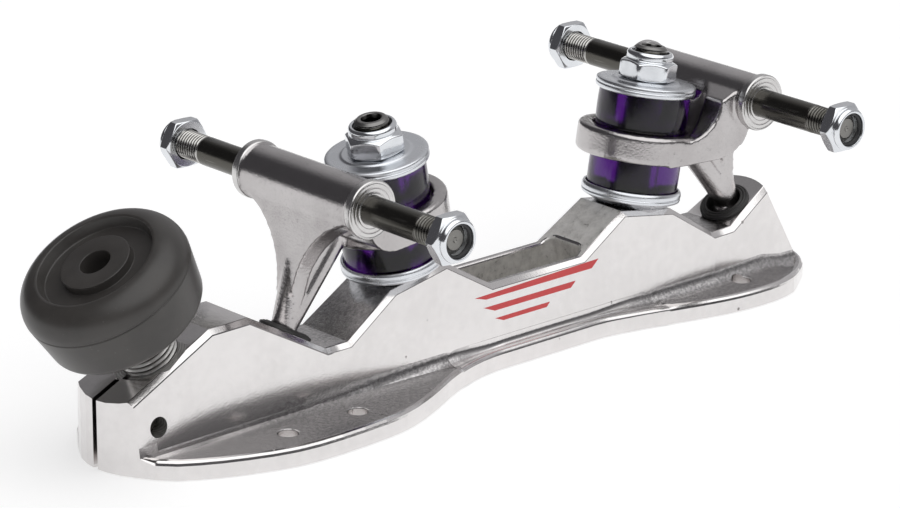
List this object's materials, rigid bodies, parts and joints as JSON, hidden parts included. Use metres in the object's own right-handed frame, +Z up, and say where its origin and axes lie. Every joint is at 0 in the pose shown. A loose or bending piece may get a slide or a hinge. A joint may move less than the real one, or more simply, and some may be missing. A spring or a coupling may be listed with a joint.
{
  "type": "roller skate plate",
  "caption": "Cast roller skate plate with a raised spine on a sole-shaped flange, sprung steering trucks on kingpins, wheel axles with lock nuts and a clamped rubber toe stop.",
  "frame": {"origin": "on the sole face, on the centre plane, midway between the two axles", "axes": "+X towards the heel, -X towards the toe stop, +Y across the plate, +Z up from the sole face to the trucks"},
  "size_m": [0.2709, 0.117, 0.0763],
  "materials": {
    "polished_aluminium": "polished sand casting",
    "cast_aluminium": "tumbled casting",
    "zinc_steel": "bright zinc plate",
    "black_steel": "black oxide",
    "nylon": "black nylon",
    "urethane": "translucent dark purple urethane",
    "stop_rubber": "moulded charcoal rubber",
    "cup_rubber": "moulded black rubber"
  },
  "bodies": {
    "plate": {"plate": "polished_aluminium", "pinch_bolt": "zinc_steel", "front_kingpin": "black_steel", "front_kingpin_nut": "zinc_steel", "front_kingpin_nut_insert": "nylon", "front_upper_retainer": "zinc_steel", "front_lower_retainer": "zinc_steel", "front_upper_cushion": "urethane", "front_lower_cushion": "urethane", "front_pivot_cup": "cup_rubber", "rear_kingpin": "black_steel", "rear_kingpin_nut": "zinc_steel", "rear_kingpin_nut_insert": "nylon", "rear_upper_retainer": "zinc_steel", "rear_lower_retainer": "zinc_steel", "rear_upper_cushion": "urethane", "rear_lower_cushion": "urethane", "rear_pivot_cup": "cup_rubber"},
    "front_truck": {"front_hanger": "cast_aluminium", "front_axle": "black_steel", "front_axle_nuts": "zinc_steel", "front_axle_nut_inserts": "nylon"},
    "rear_truck": {"rear_hanger": "cast_aluminium", "rear_axle": "black_steel", "rear_axle_nuts": "zinc_steel", "rear_axle_nut_inserts": "nylon"},
    "toe_stop": {"toe_stop_rubber": "stop_rubber", "toe_stop_stem": "zinc_steel"}
  },
  "joints": [
    {"name": "front_truck_steer", "type": "hinge", "parent": "plate", "child": "front_truck", "pos_m": [-0.084, 0, 0.02], "axis": [0.7869, 0, 0.6171], "range_deg": [-8, 8], "stiffness_Nm_per_rad": 60, "deforming": ["front_upper_cushion", "front_lower_cushion"]},
    {"name": "rear_truck_steer", "type": "hinge", "parent": "plate", "child": "rear_truck", "pos_m": [0.084, 0, 0.02], "axis": [-0.7869, 0, 0.6171], "range_deg": [-8, 8], "stiffness_Nm_per_rad": 60, "deforming": ["rear_upper_cushion", "rear_lower_cushion"]},
    {"name": "toe_stop_height", "type": "slide", "parent": "plate", "child": "toe_stop", "axis": [-0.5, 0, 0.866], "range_m": [-0.01, 0.007]}
  ]
}
